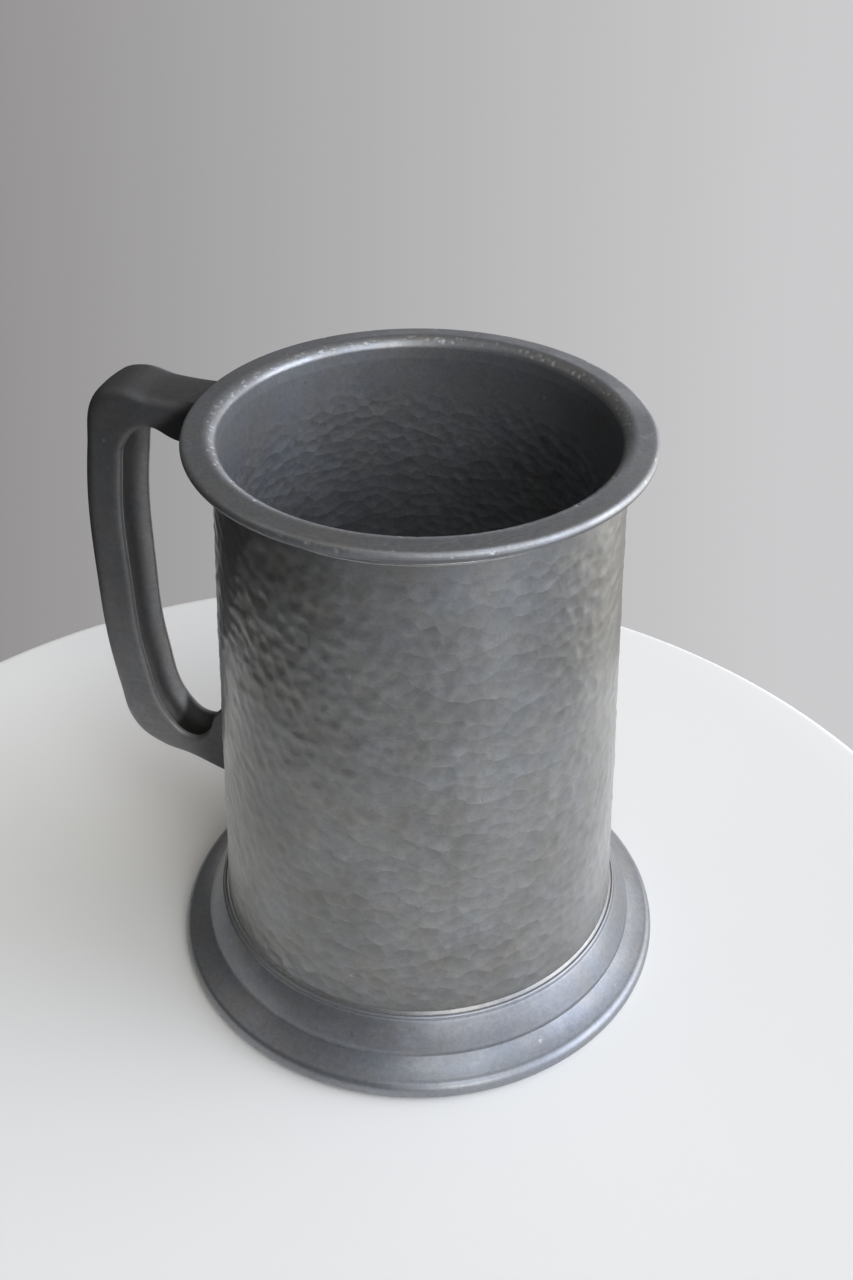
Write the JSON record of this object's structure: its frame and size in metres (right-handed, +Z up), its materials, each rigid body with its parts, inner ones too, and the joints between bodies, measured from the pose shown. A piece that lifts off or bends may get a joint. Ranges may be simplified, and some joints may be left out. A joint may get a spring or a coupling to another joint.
{
  "type": "pewter mug",
  "caption": "Hammered pewter drinking mug with a tapering barrel, flat turned lip, moulded spreading foot and a cast loop handle, soldered together.",
  "frame": {"origin": "middle of the whole outline seen from above, on the surface that the foot stands on; the barrel's own axis is 9.35 mm to the +X side", "axes": "+Z up out of the mouth, the handle points along -X, +Y completes a right-handed frame"},
  "size_m": [0.1257, 0.107, 0.127],
  "materials": {
    "hammered_pewter": "pewter sheet with shallow overlapping hammer marks, satin grey",
    "turned_pewter": "pewter turned on a lathe, smooth with fine turning lines and small nicks",
    "cast_pewter": "cast pewter, smooth and satin, darker in its trough",
    "solder": "bright soft solder, smoothed by hand"
  },
  "bodies": {
    "root": {"barrel": "hammered_pewter", "lip_ring": "turned_pewter", "foot_ring": "turned_pewter", "base_plate": "hammered_pewter", "handle": "cast_pewter", "lip_seam": "solder", "foot_seam": "solder", "base_seam": "solder", "handle_upper_solder": "solder", "handle_lower_solder": "solder"}
  },
  "joints": []
}
